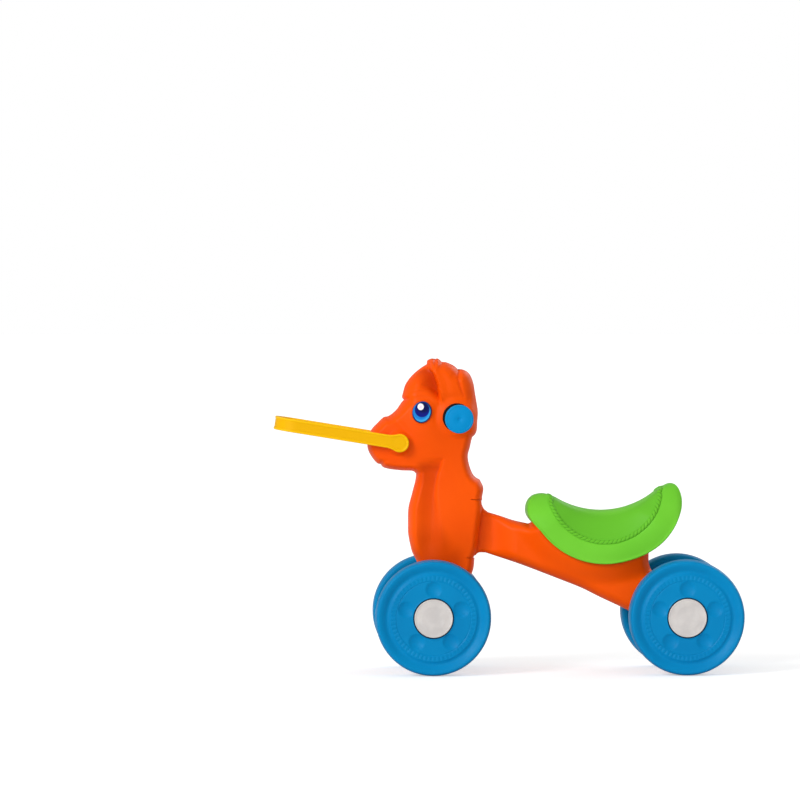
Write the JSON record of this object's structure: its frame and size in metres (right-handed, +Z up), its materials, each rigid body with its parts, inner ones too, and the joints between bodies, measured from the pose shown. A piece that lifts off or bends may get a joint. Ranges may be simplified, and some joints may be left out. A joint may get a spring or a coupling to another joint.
{
  "type": "pony balance bike",
  "caption": "Toddler's ride-on balance bike: a steering pony head on the front wheels, a beam with a saddle on the rear wheels, and a swinging rein handle.",
  "frame": {"origin": "on the floor, under the middle of the whole length and width", "axes": "+X towards the rear wheels, +Y towards the right-hand side as the child sits, +Z up; the pony looks along -X"},
  "size_m": [0.7328, 0.26, 0.4924],
  "materials": {
    "black_plastic": "matte",
    "blue_plastic": "satin",
    "eye_plastic": "satin",
    "green_plastic": "satin",
    "orange_plastic": "satin",
    "silver_plastic": "satin",
    "steel": "satin",
    "white_nylon": "matte",
    "yellow_plastic": "satin"
  },
  "bodies": {
    "frame": {"axle_rear": "steel", "frame_screw_1": "steel", "frame_screw_2": "steel", "frame_screw_3": "steel", "frame_screw_4": "steel", "frame_shell_left": "orange_plastic", "frame_shell_right": "orange_plastic", "push_nut_rear_left": "steel", "push_nut_rear_right": "steel", "saddle": "green_plastic", "saddle_screw_1": "steel", "saddle_screw_2": "steel", "saddle_screw_3": "steel", "saddle_screw_4": "steel", "steering_bush": "white_nylon", "washer_rear_left": "white_nylon", "washer_rear_right": "white_nylon"},
    "pony": {"axle_front": "steel", "eye_left": "eye_plastic", "eye_right": "eye_plastic", "grip_collar_left": "black_plastic", "grip_collar_right": "black_plastic", "grip_left": "blue_plastic", "grip_right": "blue_plastic", "handlebar": "steel", "head_screw_1": "steel", "head_screw_2": "steel", "head_screw_3": "steel", "head_screw_4": "steel", "head_screw_5": "steel", "head_shell_left": "orange_plastic", "head_shell_right": "orange_plastic", "push_nut_front_left": "steel", "push_nut_front_right": "steel", "steering_pin": "steel", "washer_front_left": "white_nylon", "washer_front_right": "white_nylon"},
    "rein": {"rein_handle": "yellow_plastic"},
    "front_left_wheel": {"hub_cap_front_left": "silver_plastic", "wheel_front_left": "blue_plastic"},
    "front_right_wheel": {"hub_cap_front_right": "silver_plastic", "wheel_front_right": "blue_plastic"},
    "rear_left_wheel": {"hub_cap_rear_left": "silver_plastic", "wheel_rear_left": "blue_plastic"},
    "rear_right_wheel": {"hub_cap_rear_right": "silver_plastic", "wheel_rear_right": "blue_plastic"}
  },
  "joints": [
    {"name": "steering", "type": "hinge", "parent": "frame", "child": "pony", "pos_m": [-0.0583, 0, 0.225], "axis": [0.1219, 0, 0.9925], "range_deg": [-30, 30]},
    {"name": "front_left_wheel_spin", "type": "hinge", "parent": "pony", "child": "front_left_wheel", "pos_m": [-0.1185, 0, 0.09], "axis": [0, 1, 0], "continuous": true},
    {"name": "front_right_wheel_spin", "type": "hinge", "parent": "pony", "child": "front_right_wheel", "pos_m": [-0.1185, 0, 0.09], "axis": [0, 1, 0], "continuous": true},
    {"name": "rear_left_wheel_spin", "type": "hinge", "parent": "frame", "child": "rear_left_wheel", "pos_m": [0.2765, 0, 0.09], "axis": [0, 1, 0], "continuous": true},
    {"name": "rear_right_wheel_spin", "type": "hinge", "parent": "frame", "child": "rear_right_wheel", "pos_m": [0.2765, 0, 0.09], "axis": [0, 1, 0], "continuous": true},
    {"name": "rein_swing", "type": "hinge", "parent": "pony", "child": "rein", "pos_m": [-0.1694, 0, 0.3606], "axis": [0, 1, 0], "range_deg": [-99, 80]}
  ]
}
